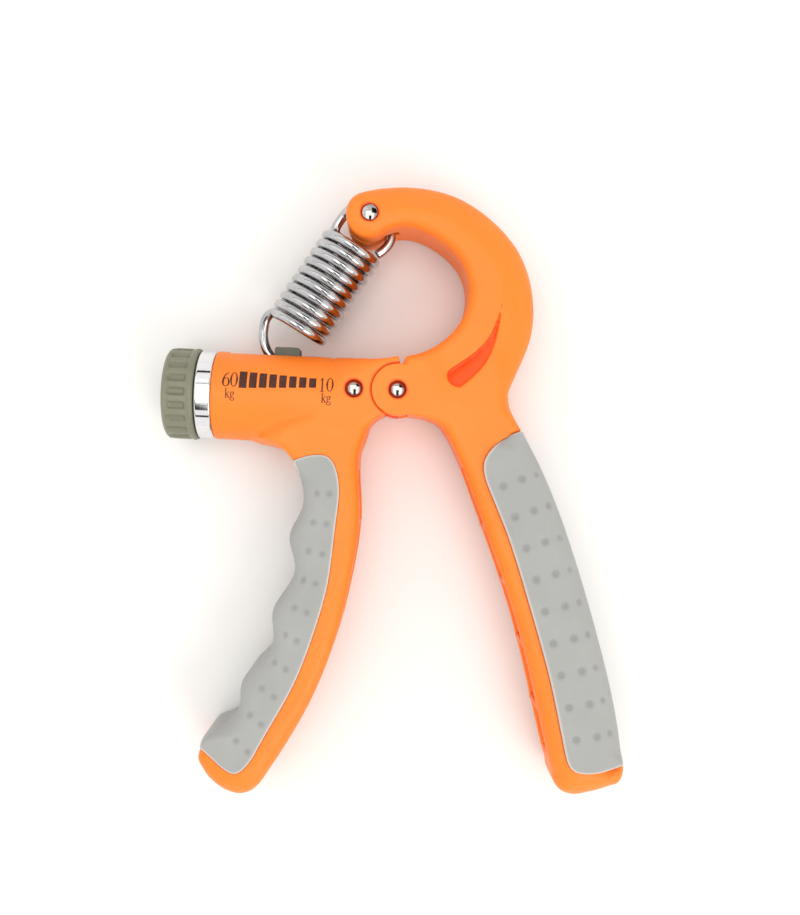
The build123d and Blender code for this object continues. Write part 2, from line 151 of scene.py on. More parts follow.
class Grid:
    """Sample points for a body that is the same above and below the mid-plane."""

    def __init__(self, x0, x1, y0, y1, half, step):
        self.step = step
        self.x = np.arange(x0, x1 + step, step, dtype=np.float32)[:, None, None]
        self.y = np.arange(y0, y1 + step, step, dtype=np.float32)[None, :, None]
        self.z = np.arange(0, half + step, step, dtype=np.float32)[None, None, :]
        self.flat_x = np.broadcast_to(self.x[:, :, 0], (len(self.x), self.y.shape[1]))
        self.flat_y = np.broadcast_to(self.y[:, :, 0], self.flat_x.shape)

    def distance(self, pairs):
        """Distance in plan from the segments."""
        best = np.full(self.flat_x.shape, 1e9, np.float32)
        for (ax, ay), (bx, by) in pairs:
            dx, dy = bx - ax, by - ay
            px, py = self.flat_x - ax, self.flat_y - ay
            t = np.clip((px * dx + py * dy) / max(dx * dx + dy * dy, 1e-9), 0, 1)
            np.minimum(best, (px - t * dx)**2 + (py - t * dy)**2, out=best)
        return np.sqrt(best)

    def signed(self, pairs):
        """Distance in plan from a closed outline, below zero inside it."""
        inside = np.zeros(self.flat_x.shape, bool)
        for (ax, ay), (bx, by) in pairs:
            if ay == by:
                continue
            crosses = (ay > self.flat_y) != (by > self.flat_y)
            inside ^= crosses & (self.flat_x < (bx - ax) * (self.flat_y - ay) / (by - ay) + ax)
        return np.where(inside, -1, 1)[:, :, None] * self.distance(pairs)[:, :, None]

    def from_curve(self, points):
        """Distance in plan from a smooth open curve, ready to combine with heights."""
        return self.distance(segments(smooth_line(points)))[:, :, None]

    def round_at(self, x, y):
        """Distance in plan from a point."""
        return np.sqrt((self.x - x)**2 + (self.y - y)**2)

    def blended(self, spots):
        """A value that changes smoothly between spots given as (x, y, value)."""
        total = weight = 0
        for x, y, value in spots:
            w = 1 / ((self.x - x)**2 + (self.y - y)**2 + 4)**2
            total, weight = total + w * value, weight + w
        return total / weight


def smoothstep(value, low, high):
    """A soft step from 0 at low to 1 at high; low may be the larger."""
    t = np.clip((value - low) / (high - low), 0, 1)
    return t * t * (3 - 2 * t)


def rounded(plan, z, half, deep, wide):
    """A plate with its edges rounded: deep down the side, and wide in from the edge."""
    side = plan * (deep / wide) + deep
    top = z - (half - deep)
    return np.sqrt(np.maximum(side, 0)**2 + np.maximum(top, 0)**2) \
        + np.minimum(np.maximum(side, top), 0) - deep


def all_of(*fields):
    """The part that lies inside every field."""
    shared = fields[0]
    for field in fields[1:]:
        shared = np.maximum(shared, field)
    return shared


def join(a, b, k):
    """Union with a fillet."""
    h = np.clip(0.5 + 0.5 * (b - a) / k, 0, 1)
    return b + (a - b) * h - k * h * (1 - h)


def carve(a, b, k):
    """a without b, with the new edge softened."""
    return -join(-a, b, k)


def mesh_from(name, grid, field):
    """A smooth mesh of the surface where the field is zero, mirrored below the mid-plane."""
    full = np.concatenate((field[:, :, :0:-1], field), axis=2).astype(np.float32)
    inside = full < 0
    cells = np.array(full.shape) - 1
    count = int(np.prod(cells))
    sums, hits, quads = np.zeros((3, count)), np.zeros(count), []
    for axis in range(3):
        near = [slice(None)] * 3
        far = [slice(None)] * 3
        near[axis], far[axis] = slice(None, -1), slice(1, None)
        near, far = tuple(near), tuple(far)
        at = np.argwhere(inside[near] != inside[far])
        a, b = full[near][tuple(at.T)], full[far][tuple(at.T)]
        point = at.astype(float)
        point[:, axis] += a / (a - b)
        u, v = [i for i in range(3) if i != axis]
        around = []
        for du, dv in ((0, 0), (1, 0), (1, 1), (0, 1)):
            cell = at.copy()
            cell[:, u] -= du
            cell[:, v] -= dv
            index = (cell[:, 0] * cells[1] + cell[:, 1]) * cells[2] + cell[:, 2]
            around.append(index)
            hits += np.bincount(index, minlength=count)
            for i in range(3):
                sums[i] += np.bincount(index, weights=point[:, i], minlength=count)
        quad = np.stack(around, axis=1)
        turn = (a < 0) != (axis == 1)
        quad[turn] = quad[turn][:, ::-1]
        quads.append(quad)
    used = np.nonzero(hits)[0]
    number = np.full(count, -1)
    number[used] = np.arange(len(used))
    vertices = (sums[:, used] / hits[used]).T
    vertices = settle(vertices, full)
    vertices *= grid.step
    vertices += [grid.x.min(), grid.y.min(), -grid.z.max()]
    return new_mesh(name, vertices, number[np.concatenate(quads)])


def sample(piece, grid, value):
    """A mesh's points, in millimetres from the pivot, and a value of the plan at each of them."""
    at = np.empty(len(piece.data.vertices) * 3)
    piece.data.vertices.foreach_get("co", at)
    at = at.reshape(-1, 3) * 1000 - np.array(PIVOT)
    cell = (at[:, :2] - [grid.x.min(), grid.y.min()]) / grid.step
    base = np.clip(cell.astype(int), 0, np.array(grid.flat_x.shape) - 2)
    u, v = (cell - base).T
    i, j = base.T
    flat = value[:, :, 0]
    sampled = flat[i, j] * (1 - u) * (1 - v) + flat[i + 1, j] * u * (1 - v) \
        + flat[i, j + 1] * (1 - u) * v + flat[i + 1, j + 1] * u * v
    return at, sampled


def write_mark(piece, name, values):
    """Stores a number from 0 to 1 for each point of a mesh, for its material to read."""
    layer = piece.data.attributes.new(name, "FLOAT", "POINT")
    layer.data.foreach_set("value", np.clip(values, 0, 1).astype(np.float32))


def settle(points, full):
    """Moves points, in grid cells, onto the field's zero surface."""
    top = np.array(full.shape) - 2
    for _ in range(2):
        base = np.clip(points.astype(int), 0, top)
        f = points - base
        value, slope = 0, np.zeros_like(points)
        for i in (0, 1):
            for j in (0, 1):
                for k in (0, 1):
                    corner = full[base[:, 0] + i, base[:, 1] + j, base[:, 2] + k]
                    w = [f[:, 0] if i else 1 - f[:, 0], f[:, 1] if j else 1 - f[:, 1],
                         f[:, 2] if k else 1 - f[:, 2]]
                    value = value + corner * w[0] * w[1] * w[2]
                    slope[:, 0] += corner * (1 if i else -1) * w[1] * w[2]
                    slope[:, 1] += corner * (1 if j else -1) * w[0] * w[2]
                    slope[:, 2] += corner * (1 if k else -1) * w[0] * w[1]
        step = value[:, None] * slope / np.maximum((slope**2).sum(axis=1), 1e-4)[:, None]
        points = points - np.clip(step, -0.4, 0.4)
    return points


def new_mesh(name, vertices, faces):
    """A mesh object from millimetres measured from the pivot."""
    mesh = bpy.data.meshes.new(name)
    mesh.from_pydata(place(vertices).tolist(), [], [list(map(int, f)) for f in faces])
    mesh.validate()
    mesh.shade_smooth()
    piece = bpy.data.objects.new(name, mesh)
    scene.collection.objects.link(piece)
    return piece


# ---- outlines ---------------------------------------------------------------------------------
finger_inner_edge = [(-7.3, -10.2), (-8.7, -15.0), (-8.3, -30.0), (-9.6, -47.0),
                     (-12.6, -62.0), (-17.8, -77.5), (-25.6, -92.8), (-30.2, -100.3)]
finger_toe = [(-30.2, -100.3), (-32.4, -102.7), (-35.6, -103.7), (-39.5, -102.6),
              (-42.7, -100.3), (-44.9, -97.4), (-46.1, -94.3), (-45.4, -91.6)]
finger_core_edge = [(-45.4, -91.6), (-42.2, -90.6), (-37.0, -86.5), (-32.4, -79.0), (-25.2, -63.0),
                    (-21.0, -46.0), (-19.6, -28.0), (-22.6, -21.5), (-25.4, -19.0)]
finger_root = [(-25.4, -19.0), (-27.6, -16.4), (-30.4, -14.8), (-33.6, -13.6)]
finger_shoulder = [(-33.6, -13.6), (-23.0, -7.0), (-16.0, 7.9)]
finger_top = [(-16.0, 7.9), (-10.0, 7.7), (-5.0, 7.6), (-0.1, 8.4)]
finger_notch = [(-0.1, 8.4), (0.6, 6.3), (0.5, 5.0), (-2.0, -5.0), (-2.8, -6.2)]
finger_crotch = [(-2.8, -6.2), (-4.9, -7.3), (-7.3, -10.2)]
palm_notch = [(0.9, 5.8), (1.7, 8.4), (4.0, 9.0), (4.0, 5.0), (0.9, 5.8)]
crescent_inner = [(25.2, 22.6), (22.3, 14.0), (13.9, 6.3)]
crescent_end = [(13.9, 6.3), (12.4, 4.9), (12.7, 2.6), (15.6, 1.2)]
crescent_outer = [(15.6, 1.2), (21.4, 7.2), (25.2, 22.6)]
finger_channel = [(-8.3, -24.0), (-8.6, -38.0), (-10.8, -54.0), (-15.6, -72.0), (-22.8, -87.6)]
palm_channel = [(18.7, -22.5), (26.2, -40.0), (32.2, -56.4), (37.5, -74.5), (41.0, -88.0)]
finger_ribs = [(-8.4, -34.0, 88), (-11.9, -58.0, 102), (-19.2, -80.0, 114)]
palm_ribs = [(23.5, -33.5, 67), (29.2, -47.5, 70), (34.2, -62.5, 74), (38.6, -78.5, 77)]
arm_inner = [(1.7, 8.4), (8.1, 10.9), (14.0, 16.2), (16.9, 24.6), (15.2, 31.9), (8.2, 38.6),
             (-0.4, 41.2), (-4.9, 39.8)]
arm_outer = [(-11.9, 49.3), (-4.6, 51.6), (3.4, 51.9), (12.2, 50.2), (21.5, 45.0), (29.4, 36.6),
             (33.5, 25.0), (33.0, 13.4), (29.8, 5.2), (28.0, 0.4), (28.6, -3.4), (31.7, -9.0)]


def top_of(grid, body):
    """Height of a body's upper surface over each point of the plan; low where there is none."""
    solid = body < 0
    last = solid.shape[2] - 1 - np.argmax(solid[:, :, ::-1], axis=2)
    k = np.minimum(last, solid.shape[2] - 2)[:, :, None]
    a, b = np.take_along_axis(body, k, 2), np.take_along_axis(body, k + 1, 2)
    height = grid.step * (k + a / np.where(a == b, -1, a - b))
    return np.where(solid.any(axis=2)[:, :, None], height, -99)


CHANNEL_REACH, CHANNEL_HALF = 3.4, 5.6
RIB_PROUD, RIB_DEEP, RIB_THICK, RIB_HALF = 0.15, 4.5, 1.2, 6.4


def cored(grid, body, channel, ribs, inward):
    """The handle's inner side, hollowed along a channel that thin ribs cross."""
    body = carve(body, np.maximum(grid.from_curve(channel) - CHANNEL_REACH, grid.z - CHANNEL_HALF), 0.5)
    for x, y, angle in ribs:
        a = math.radians(angle - 90)
        along = (grid.x - x) * math.cos(a) + (grid.y - y) * math.sin(a)
        over = -(grid.x - x) * math.sin(a) + (grid.y - y) * math.cos(a)
        reach = inward * along
        rib = all_of(-reach - RIB_PROUD, reach - RIB_DEEP, np.abs(over) - RIB_THICK / 2, grid.z - RIB_HALF)
        body = join(body, rib, 0.4)
    return body


def pin_seats(grid, body, names):
    """Round holes for the pins."""
    for name in names:
        body = carve(body, grid.round_at(*pins[name]) - PIN_R - PIN_FIT, 0.1)
    return body


def seat_mark(points, names, top):
    """Marks the rings round the pins' ends, for painted shade."""
    total = np.zeros(len(points))
    for name in names:
        at = np.linalg.norm(points[:, :2] - np.array(pins[name]), axis=1)
        total += smoothstep(at, PIN_R + 0.5, PIN_R + 0.2) * (np.abs(points[:, 2]) > top - 2)
    return total


# ---- palm handle ------------------------------------------------------------------------------
fine = 0.42
palm_step = fine * 1.07
grid = Grid(-18, 64, -103.5, 54.5, 12, palm_step)
palm_plan = grid.signed(cut_through("palm_handle", PLASTIC_LEVEL, [pins["pivot_pin"], pins["spring_pin"]]))
palm_pad_plan = grid.signed(cut_through("palm_grip", GRIP_LEVEL))
to_inner, to_outer = grid.from_curve(arm_inner), grid.from_curve(arm_outer)
across = smoothstep(to_inner / (to_inner + to_outer), 0.25, 0.6)
in_arm = smoothstep(grid.y, 2, 12) * smoothstep(grid.x, -14, -3)
ear = grid.round_at(0, 0) - EAR_R
soft = grid.blended([(0, 0, 0.5), (6, -7, 0.9), (11, -9, 2.2), (20, -25, 2.6), (32, -55, 2.8),
                     (41, -90, 3.2), (60.5, -95, 3.4), (57, -99, 6.5), (50, -101, 7.0), (44, -98, 5.0),
                     (28.5, -1, 4.0), (31, -8, 1.4), (-12, 44, 2.6), (-6, 49, 3.4), (3, 9, 0.8)])
deep = soft + in_arm * (2.8 + 3.2 * across - soft)
wide = soft * 1.1 + in_arm * (2.6 + 8.0 * across - soft * 1.1)
near_ear = (BODY_HALF - ARM_HALF) * smoothstep(ear, 9.0, 2.0)
palm = rounded(palm_plan, grid.z, ARM_HALF + near_ear, deep, wide)
ear_disc = rounded(ear - EAR_FACE_OUT, grid.z, BODY_HALF, 0.2, 0.2)
palm = join(palm, ear_disc, 0.15)
notch_plan = grid.signed(segments(np.array(palm_notch)))
palm = join(palm, rounded(notch_plan, grid.z, ARM_HALF, 0.4, 0.4), 0.2)
tongue_gap = np.minimum(ear, np.maximum(grid.x, np.abs(grid.y) - 7))
palm = carve(palm, np.maximum(tongue_gap, grid.z - EAR_GAP_HALF), 0.2)
palm = carve(palm, np.maximum(palm_pad_plan, CORE_HALF - grid.z), 0.08)
crescent = grid.signed(segments(*map(smooth_line, (crescent_inner, crescent_end, crescent_outer))))
scoop = 0.75 + 0.4 * np.minimum(grid.from_curve(crescent_outer), 4.5)
arm_top = top_of(grid, palm)
palm = carve(palm, np.maximum(crescent, arm_top - scoop - grid.z), 0.3)
hook_slot = all_of(grid.x + 1.5, -grid.x - 19, np.abs(grid.y - 44.5) - 9, grid.z - HOOK_SLOT_HALF)
palm = carve(palm, hook_slot, 0.4)
palm = pin_seats(grid, palm, ["pivot_pin", "spring_pin"])
palm = cored(grid, palm, palm_channel, palm_ribs, 1)
palm_body = mesh_from("palm_handle_shell", grid, palm)
# Painted shade: a deeper red in the crescent recess, round the pins' ends and along the gap round the ear.
points, top = sample(palm_body, grid, arm_top)
_, in_crescent = sample(palm_body, grid, crescent)
painted_shade = smoothstep(top - np.abs(points[:, 2]), 0.15, 0.7) * smoothstep(in_crescent, 0.6, -0.2)
painted_shade = np.maximum(painted_shade, seat_mark(points, ["pivot_pin"], BODY_HALF))
from_pivot = np.linalg.norm(points[:, :2], axis=1)
# The ring along the ear's gap is painted shade too.
rim = smoothstep(np.abs(from_pivot - 6.5), 0.35, 0.15)
rim = rim * smoothstep(np.abs(points[:, 2]), 10.49, 10.3)
painted_shade = np.maximum(painted_shade, rim * (points[:, 0] < 0.5))
painted_shade = np.maximum(painted_shade, seat_mark(points, ["spring_pin"], ARM_HALF))
write_mark(palm_body, "painted_shade", painted_shade)

# ---- palm grip --------------------------------------------------------------------------------
pad_step = 0.36


def pitted(grid, pad, lines, count, radius, sink):
    """Round pits at even steps along curved rows, pressed into the face of a grip."""
    surface = pad
    for line in lines:
        path = smooth_line(line, 0.25)
        run = np.concatenate(([0], np.cumsum(np.linalg.norm(np.diff(path, axis=0), axis=1))))
        for s in np.linspace(0, run[-1], count):
            x, y = np.interp(s, run, path[:, 0]), np.interp(s, run, path[:, 1])
            i = int((x - grid.x.min()) / grid.step + 0.5)
            j = int((y - grid.y.min()) / grid.step + 0.5)
            column = surface[i, j]
            k = int(np.nonzero(column < 0)[0].max())
            level = grid.step * (k + column[k] / (column[k] - column[k + 1]))
            drop = grid.z - level - radius + sink
            pad = carve(pad, np.sqrt((grid.x - x)**2 + (grid.y - y)**2 + drop**2) - radius, 0.5)
    return pad


def mark_grip(piece, grid, plan, plain_top, round_off):
    """Marks a grip's pits for painted shade, and its pale lip along the border with the plastic, which is
    partly moulding flash and partly a painted highlight.
    """
    points, top = sample(piece, grid, plain_top)
    _, inside = sample(piece, grid, np.broadcast_to(plan, plain_top.shape))
    _, outer = sample(piece, grid, np.broadcast_to(round_off, plain_top.shape))
    height = np.abs(points[:, 2])
    in_face = smoothstep(inside, -0.9, -1.5) * (height > 9)
    # Painted shade in the pits, below the face's plain height.
    write_mark(piece, "painted_shade", smoothstep(top - height, 0.08, 0.5) * in_face)
    # The pale lip is partly moulding flash and partly a painted edge highlight.
    write_mark(piece, "flash_lip_highlight", smoothstep(inside, -0.55, -0.1) * (1 - outer) * 0.9)


def grip(name, grid, plan, core, round_off, deep, wide, pits):
    """A grip round the handle's core: softly rounded where round_off is 1, with pits in its face."""
    pad = rounded(plan, grid.z, PAD_HALF, PAD_EDGE + deep * round_off, PAD_EDGE + wide * round_off)
    pad = carve(pad, np.maximum(core, grid.z - CORE_HALF), 0.1)
    plain_top = top_of(grid, pad)
    for lines, count, radius, sink in pits:
        pad = pitted(grid, pad, lines, count, radius, sink)
    piece = mesh_from(name, grid, pad)
    mark_grip(piece, grid, plan, plain_top, round_off)
    return piece


pad_grid = Grid(20, 63.5, -96.5, -6, 12.6, pad_step)
plan = pad_grid.signed(cut_through("palm_grip", GRIP_LEVEL))
core = pad_grid.signed(cut_through("palm_handle", PLASTIC_LEVEL))
back_line = [(60.6, -91.2), (58.1, -77.6), (53.3, -60.5), (46.8, -41.2), (38.5, -21.1), (31.7, -9.0)]
round_off = smoothstep(pad_grid.from_curve(back_line), 9.0, 3.0) \
    * smoothstep(pad_grid.y, -92.5, -87.5) * smoothstep(pad_grid.y, -7.5, -13.0)
face_rows = [[(27.3, -22.9), (33.9, -38.6), (41.6, -62.0), (48.2, -85.2)],
             [(31.9, -20.9), (38.4, -36.6), (46.6, -60.4), (53.3, -84.2)]]
back_rows = [[(36.0, -19.4), (42.6, -35.4), (50.6, -59.4), (57.0, -83.2)]]
palm_pad = grip("palm_grip_pad", pad_grid, plan, core, round_off, 3.5, 5.5,
                [(face_rows, 9, 1.35, 0.6), (back_rows, 9, 1.1, 0.4)])

# ---- finger handle ----------------------------------------------------------------------------
grid = Grid(-48.5, 8, -106, 11, 12.2, fine)
handle_curves = (finger_inner_edge, finger_toe, finger_core_edge, finger_root)
outline = segments(*map(smooth_line, handle_curves), np.array(finger_shoulder),
                   smooth_line(finger_top), np.array(finger_notch), smooth_line(finger_crotch))
finger_plan = grid.signed(outline)
soft = grid.blended([(0, 8, 0.7), (-4, 8, 1.2), (-8, 8, 3.0), (-12, 8, 6.0), (-16, 8, 8.5),
                     (-2, -7, 0.8), (-8, -13, 3.0), (-9, -35, 2.8), (-15, -70, 2.8), (-28, -98, 4.2),
                     (-36, -103, 5.4), (-41, -101, 5.0), (-44, -98, 4.2), (-46, -94, 3.2),
                     (-27, -17, 1.6), (-33, -14, 3.0), (-20, -6, 3.0)])
finger = rounded(finger_plan, grid.z, BODY_HALF, soft, soft * 1.1)
radial = np.sqrt((grid.y - AXIS_Y)**2 + grid.z**2)
ends = np.maximum(BARREL_LEFT - grid.x, grid.x + 10.0)
waist = BARREL_R - 0.7 * smoothstep(grid.x, -20.0, -11.0)
barrel = rounded(ends, radial, waist, 0.4, 0.4)
blend_width = 0.8 + 4.2 * smoothstep(AXIS_Y - grid.y, 3.0, 8.5)
finger = join(finger, barrel, blend_width)
finger = carve(finger, grid.round_at(0, 0) - POCKET_R, 0.1)
tongue_neck = np.maximum(np.abs(grid.x + 5.6) - 2.6, np.abs(grid.y) - 4.3)
tongue = np.minimum(grid.round_at(0, 0) - TONGUE_R, tongue_neck)
finger = np.minimum(finger, np.maximum(tongue, grid.z - TONGUE_HALF))
pad_plan = grid.signed(cut_through("finger_grip", GRIP_LEVEL))
finger = carve(finger, np.maximum(pad_plan, CORE_HALF - grid.z), 0.08)
finger = carve(finger, np.maximum(radial - BARREL_BORE_R, grid.x + 15.2), 0.5)
slot = all_of(-43.8 - grid.x, grid.x + 15.5, grid.z - SLOT_HALF, AXIS_Y - grid.y)
finger = carve(finger, slot, 0.3)
finger = carve(finger, np.maximum(radial - SCREW_BORE_R, grid.x + 13.0), 0.1)
finger = pin_seats(grid, finger, ["retaining_pin"])
finger = carve(finger, grid.round_at(0, 0) - PIN_R - PIVOT_PIN_FIT, 0.1)
finger = cored(grid, finger, finger_channel, finger_ribs, -1)
finger_body = mesh_from("finger_handle_shell", grid, finger)
# Painted shade: a deeper red on the pocket's wall round the ear and round the retaining pin's end.
points, _ = sample(finger_body, grid, finger_plan)
from_pivot = np.linalg.norm(points[:, :2], axis=1)
pocket_wall_shade = smoothstep(np.abs(from_pivot - POCKET_R), 0.5, 0.25) * (np.abs(points[:, 0]) < 9)
write_mark(finger_body, "painted_shade", np.maximum(pocket_wall_shade, seat_mark(points, ["retaining_pin"], BODY_HALF)))

# ---- finger grip ------------------------------------------------------------------------------
pad_grid = Grid(-48, -12, -99.5, -15, 12.6, pad_step)
plan = pad_grid.signed(cut_through("finger_grip", GRIP_LEVEL))
core = pad_grid.signed(outline)
scallops = [(-45.4, -91.6), (-44.3, -88.4), (-39.6, -86.0), (-36.2, -80.4), (-36.0, -75.6),
            (-32.2, -69.9), (-28.5, -64.0), (-29.0, -57.4), (-26.3, -51.8), (-23.8, -45.9),
            (-25.5, -37.8), (-22.6, -30.4), (-23.0, -24.6), (-25.4, -19.0)]
round_off = smoothstep(pad_grid.from_curve(scallops), 7.0, 2.5) \
    * smoothstep(pad_grid.y, -92.0, -86.5) * smoothstep(pad_grid.y, -19.5, -24.5)
face_rows = [[(-19.1, -26.7), (-20.7, -42.9), (-24.4, -58.9), (-30.0, -74.4), (-36.4, -89.1)],
             [(-15.9, -26.7), (-17.2, -42.9), (-21.2, -59.8), (-26.8, -76.0), (-33.4, -91.7)]]
finger_pad = grip("finger_grip_pad", pad_grid, plan, core, round_off, 2.7, 3.7,
                  [(face_rows, 10, 1.15, 0.5)])


# ---- turned pieces: pins, knob, collar, screw -------------------------------------------------
def turned(name, profile, sides, centre, along, ripple=None, closed=True):
    """A lathe-turned piece: profile points are (distance along the axis, radius)."""
    along = Vector(along).normalized()
    side = along.orthogonal().normalized()
    other = along.cross(side)
    vertices, faces = [], []
    n = len(profile)
    for i in range(sides):
        a = 2 * math.pi * i / sides
        for j, (s, r) in enumerate(profile):
            if ripple:
                r += ripple(a, s)
            v = Vector(centre) + along * s + (side * math.cos(a) + other * math.sin(a)) * r
            vertices.append(v[:])
    for i in range(sides):
        k = (i + 1) % sides
        for j in range(n - 1):
            faces.append((i * n + j, k * n + j, k * n + j + 1, i * n + j + 1))
        if closed:
            faces.append((i * n + n - 1, k * n + n - 1, k * n, i * n))
    piece = new_mesh(name, vertices, faces)
    bm = bmesh.new()
    bm.from_mesh(piece.data)
    bmesh.ops.remove_doubles(bm, verts=bm.verts, dist=1e-7)
    bmesh.ops.dissolve_degenerate(bm, edges=bm.edges, dist=1e-7)
    bmesh.ops.recalc_face_normals(bm, faces=bm.faces)
    bm.to_mesh(piece.data)
    bm.free()
    return piece


def pin_profile(half):
    """A straight pin with two domed ends."""
    dome = [(half - 1.15, PIN_R), (half - 0.62, PIN_R), (half - 0.44, PIN_R - 0.1),
            (half - 0.3, PIN_R * 0.82), (half - 0.14, PIN_R * 0.56), (half - 0.04, PIN_R * 0.3), (half, 0.0)]
    return [(-s, r) for s, r in reversed(dome)] + dome


pin_half = span("pivot_pin", 2)[1]
pin_pieces = {}
for name, (x, y) in pins.items():
    pin_pieces[name] = turned(name + "_domed", pin_profile(pin_half), 48, (x, y, 0), (0, 0, 1),
                              closed=False)

KNOB_RIBS = 20
RIB_TOP_R = 11.6
flute_left, flute_right = KNOB_LEFT + 1.5, KNOB_RIGHT - 1.75


def knob_ripple(angle, s):
    """Rounded ribs with soft ends between the knob's shoulder and its rim."""
    if s < flute_left - 0.6 or s > flute_right + 0.3:
        return 0.0
    wave = 0.5 + 0.5 * math.cos(angle * KNOB_RIBS)
    ridge = float(smoothstep(wave, 0.12, 0.8))
    starts = smoothstep(s, flute_left - 0.5, flute_left + 1.0)
    end = float(starts * (1 - smoothstep(s, flute_right - 0.5, flute_right)))
    return 0.15 * end - 1.0 * (1 - ridge) * end


stations = np.linspace(flute_left - 0.6, flute_right + 0.3, 26)
knob_profile = [(KNOB_LEFT + 1.3, 7.45), (KNOB_LEFT + 0.12, 7.5), (KNOB_LEFT, 7.75), (KNOB_LEFT, 10.0),
                (KNOB_LEFT + 0.14, 10.7), (KNOB_LEFT + 0.45, 11.2), (KNOB_LEFT + 0.8, 11.48)]
knob_profile += [(float(s), RIB_TOP_R) for s in stations]
knob_profile += [(KNOB_RIGHT - 1.4, 11.62), (KNOB_RIGHT - 1.3, KNOB_R - 0.12), (KNOB_RIGHT - 1.0, KNOB_R),
                 (KNOB_RIGHT - 0.5, KNOB_R), (KNOB_RIGHT - 0.12, KNOB_R - 0.2), (KNOB_RIGHT, KNOB_R - 0.55),
                 (KNOB_RIGHT, 6.1), (KNOB_RIGHT - 0.8, 6.05), (KNOB_RIGHT - 0.8, SCREW_BORE_R),
                 (KNOB_LEFT + 3.0, SCREW_BORE_R), (KNOB_LEFT + 2.9, 3.2), (KNOB_LEFT + 1.3, 3.2)]
knob_piece = turned("knob_ribbed", knob_profile, KNOB_RIBS * 14, (0, AXIS_Y, 0), (1, 0, 0),
                    ripple=knob_ripple)

SPIGOT_R = 7.9
collar_profile = [(COLLAR_LEFT, SCREW_BORE_R), (COLLAR_LEFT, BARREL_R - 0.55),
                  (COLLAR_LEFT + 0.1, BARREL_R - 0.25), (COLLAR_LEFT + 0.35, BARREL_R - 0.06),
                  (COLLAR_LEFT + 0.6, BARREL_R), (COLLAR_LEFT + 0.7, BARREL_R),
                  (BARREL_LEFT - 0.4, BARREL_R), (BARREL_LEFT - 0.3, BARREL_R),
                  (BARREL_LEFT - 0.08, BARREL_R - 0.1), (BARREL_LEFT, BARREL_R - 0.3),
                  (BARREL_LEFT, SPIGOT_R), (COLLAR_RIGHT - 0.3, SPIGOT_R),
                  (COLLAR_RIGHT, SPIGOT_R - 0.3), (COLLAR_RIGHT, SCREW_BORE_R)]
collar_piece = turned("collar_ring", collar_profile, 128, (0, AXIS_Y, 0), (1, 0, 0))


def threaded(name, x0, x1, root, crest, pitch):
    """A rod from x0 to x1 with a helical thread that fades out at both ends."""
    sides = 40
    steps = int((x1 - x0) / pitch * 8)
    vertices, faces = [], []
    for i in range(steps + 1):
        x = x0 + (x1 - x0) * i / steps
        for j in range(sides):
            a = 2 * math.pi * j / sides
            phase = ((x - x0) / pitch + j / sides) % 1
            tooth = 1 - abs(2 * phase - 1)
            fade = min(1.0, (x - x0) / pitch, (x1 - x) / pitch)
            valley = float(smoothstep(tooth, 0.15, 0.85))
            r = crest - (crest - root) * valley * fade - (1 - fade) * 0.25
            vertices.append((x, AXIS_Y + r * math.cos(a), r * math.sin(a)))
    for i in range(steps):
        for j in range(sides):
            k = (j + 1) % sides
            faces.append((i * sides + j, i * sides + k, (i + 1) * sides + k, (i + 1) * sides + j))
    faces.append(tuple(range(sides)))
    faces.append(tuple(reversed(range(steps * sides, (steps + 1) * sides))))
    piece = new_mesh(name, vertices, faces)
    bm = bmesh.new()
    bm.from_mesh(piece.data)
    bmesh.ops.recalc_face_normals(bm, faces=bm.faces)
    bm.to_mesh(piece.data)
    bm.free()
    return piece


screw_left, screw_right = span("adjusting_screw", 0)
screw_piece = threaded("adjusting_screw_threaded", screw_left, screw_right, root=2.75, crest=3.5, pitch=2.0)

# ---- spring: one wire in two lengths ----------------------------------------------------------
WIRE_R, COIL_R, PITCH = 1.25, 7.2, 2.72
TURNS, SPLIT = 10, 5
COIL_ANGLE = math.radians(57.8)
up = np.array([math.cos(COIL_ANGLE), math.sin(COIL_ANGLE), 0])
left = np.array([-up[1], up[0], 0])
front = np.array([0, 0, 1.0])
spring_pin = np.array([*pins["spring_pin"], 0])
coil_base = spring_pin - up * (7.07 + PITCH * TURNS)
loop_centre = spring_pin - up * 3.4 - left * 0.2


def on_coil(turn):
    """A point of the wire's centre line, counted in turns from the lower end."""
    a = 2 * math.pi * turn
    return coil_base + up * (PITCH * turn) + (left * math.cos(a) + front * math.sin(a)) * COIL_R


def on_loop(angle, out=0.0):
    """A point of the upper loop, by its angle in degrees from the spring's axis."""
    a = math.radians(angle)
    return loop_centre + (up * math.cos(a) + left * math.sin(a)) * COIL_R + front * out


def wire(name, path):
    """A round wire along the path, with domed ends."""
    sides = 20
    path = np.array(path)
    tangent = np.gradient(path, axis=0)
    tangent /= np.linalg.norm(tangent, axis=1)[:, None]
    side = np.cross(tangent[0], up)
    if np.linalg.norm(side) < 0.1:
        side = np.cross(tangent[0], front)
    rings = []
    for p, t in zip(path, tangent):
        side = side - t * side.dot(t)
        side /= np.linalg.norm(side)
        other = np.cross(t, side)
        a = np.linspace(0, 2 * math.pi, sides, endpoint=False)[:, None]
        rings.append((p, t, side * np.cos(a) + other * np.sin(a)))
    vertices = []
    for back, share in ((-0.9, 0.35), (-0.6, 0.75)):
        p, t, ring = rings[0]
        vertices.append(p + t * back * WIRE_R * 0.3 + ring * WIRE_R * share)
    vertices += [p + ring * WIRE_R for p, t, ring in rings]
    for on, share in ((0.6, 0.75), (0.9, 0.35)):
        p, t, ring = rings[-1]
        vertices.append(p + t * on * WIRE_R * 0.3 + ring * WIRE_R * share)
    count = len(vertices)
    faces = []
    for i in range(count - 1):
        for j in range(sides):
            k = (j + 1) % sides
            faces.append((i * sides + j, (i + 1) * sides + j, (i + 1) * sides + k, i * sides + k))
    faces.append(tuple(range(sides)))
    faces.append(tuple(reversed(range((count - 1) * sides, count * sides))))
    return new_mesh(name, np.concatenate(vertices), faces)


